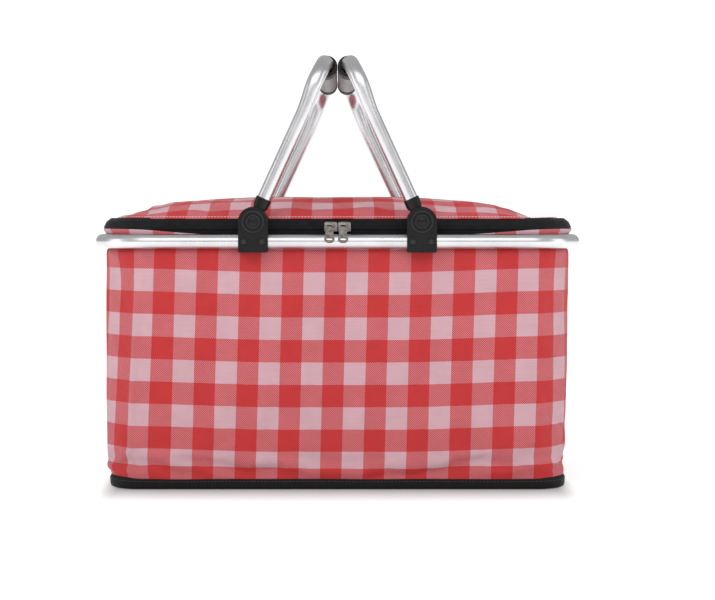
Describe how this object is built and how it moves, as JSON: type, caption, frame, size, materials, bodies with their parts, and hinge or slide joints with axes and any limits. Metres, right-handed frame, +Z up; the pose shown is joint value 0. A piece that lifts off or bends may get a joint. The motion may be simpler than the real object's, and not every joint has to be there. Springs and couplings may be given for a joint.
{
  "type": "insulated cooler bag",
  "caption": "Collapsible insulated cooler bag: gingham fabric walls hung from an aluminium rim hoop, swinging bail handles with foam grips, zipped domed lid.",
  "frame": {"origin": "centre of the footprint, on the surface the bag stands on", "axes": "+X along the bag's length, -Y to the front with the zip sliders, +Z up"},
  "size_m": [0.48, 0.2875, 0.4216],
  "materials": {
    "gingham": "red and white gingham polyester, woven squares of about 21 mm",
    "black_fabric": "black coated polyester",
    "black_binding": "black ribbed binding tape",
    "foam": "closed-cell white foam sheet, carried as fabric",
    "foil_liner": "silver aluminised film liner",
    "base_board": "stiff hardboard insert",
    "aluminium_tube": "satin anodised tube",
    "black_plastic": "moulded black plastic, satin",
    "foam_grip": "black foam sleeve",
    "zip_tape": "black woven zip tape",
    "zip_coil": "black nylon coil",
    "rivet_steel": "blackened steel rivets",
    "nickel": "plated zinc, warm nickel"
  },
  "bodies": {
    "base": {"bottom_panel": "black_fabric", "bottom_binding": "black_binding", "base_board": "base_board", "floor_insulation": "foam", "floor_liner": "foil_liner", "wall_outer": "gingham", "wall_insulation": "foam", "wall_liner": "foil_liner"},
    "rim": {"rim_tube": "aluminium_tube", "rim_spigot": "aluminium_tube", "collar_outer": "gingham", "collar_insulation": "foam", "collar_liner": "foil_liner", "hinge_flap": "gingham", "zip_tape_lower": "zip_tape", "zip_coil_lower": "zip_coil", "bracket_front_left": "black_plastic", "bracket_front_right": "black_plastic", "bracket_rear_left": "black_plastic", "bracket_rear_right": "black_plastic", "cover_front_left": "black_plastic", "cover_front_right": "black_plastic", "cover_rear_left": "black_plastic", "cover_rear_right": "black_plastic", "pivot_pins": "black_plastic", "bracket_rivets": "rivet_steel"},
    "lid": {"lid_outer": "gingham", "lid_insulation": "foam", "lid_liner": "foil_liner", "zip_tape_upper": "zip_tape", "zip_coil_upper": "zip_coil"},
    "handle_left": {"handle_left_tube": "aluminium_tube", "handle_left_grip": "foam_grip", "knuckle_front_left": "black_plastic", "knuckle_rear_left": "black_plastic"},
    "handle_right": {"handle_right_tube": "aluminium_tube", "handle_right_grip": "foam_grip", "knuckle_front_right": "black_plastic", "knuckle_rear_right": "black_plastic"},
    "slider_left": {"slider_left": "nickel"},
    "slider_right": {"slider_right": "nickel"},
    "pull_left": {"pull_left": "nickel"},
    "pull_right": {"pull_right": "nickel"}
  },
  "joints": [
    {"name": "collapse", "type": "slide", "parent": "base", "child": "rim", "axis": [0, 0, 1], "range_m": [-0.185, 0], "deforming": ["wall_outer", "wall_insulation", "wall_liner"]},
    {"name": "lid_open", "type": "hinge", "parent": "rim", "child": "lid", "pos_m": [0, 0.1214, 0.2592], "axis": [-1, 0, 0], "range_deg": [0, 34]},
    {"name": "handle_left_swing", "type": "hinge", "parent": "rim", "child": "handle_left", "pos_m": [-0.0805, 0, 0.258], "axis": [0, -1, 0], "range_deg": [0, 114.5]},
    {"name": "handle_right_swing", "type": "hinge", "parent": "rim", "child": "handle_right", "pos_m": [0.0805, 0, 0.258], "axis": [0, 1, 0], "range_deg": [0, 114.5]},
    {"name": "slider_left_run", "type": "slide", "parent": "rim", "child": "slider_left", "axis": [-1, 0, 0], "range_m": [0, 0.048]},
    {"name": "slider_right_run", "type": "slide", "parent": "rim", "child": "slider_right", "axis": [1, 0, 0], "range_m": [0, 0.048]},
    {"name": "pull_left_swing", "type": "hinge", "parent": "slider_left", "child": "pull_left", "pos_m": [-0.0077, -0.1311, 0.256], "axis": [-1, 0, 0], "range_deg": [0, 140]},
    {"name": "pull_right_swing", "type": "hinge", "parent": "slider_right", "child": "pull_right", "pos_m": [0.0053, -0.1311, 0.256], "axis": [-1, 0, 0], "range_deg": [0, 140]}
  ]
}
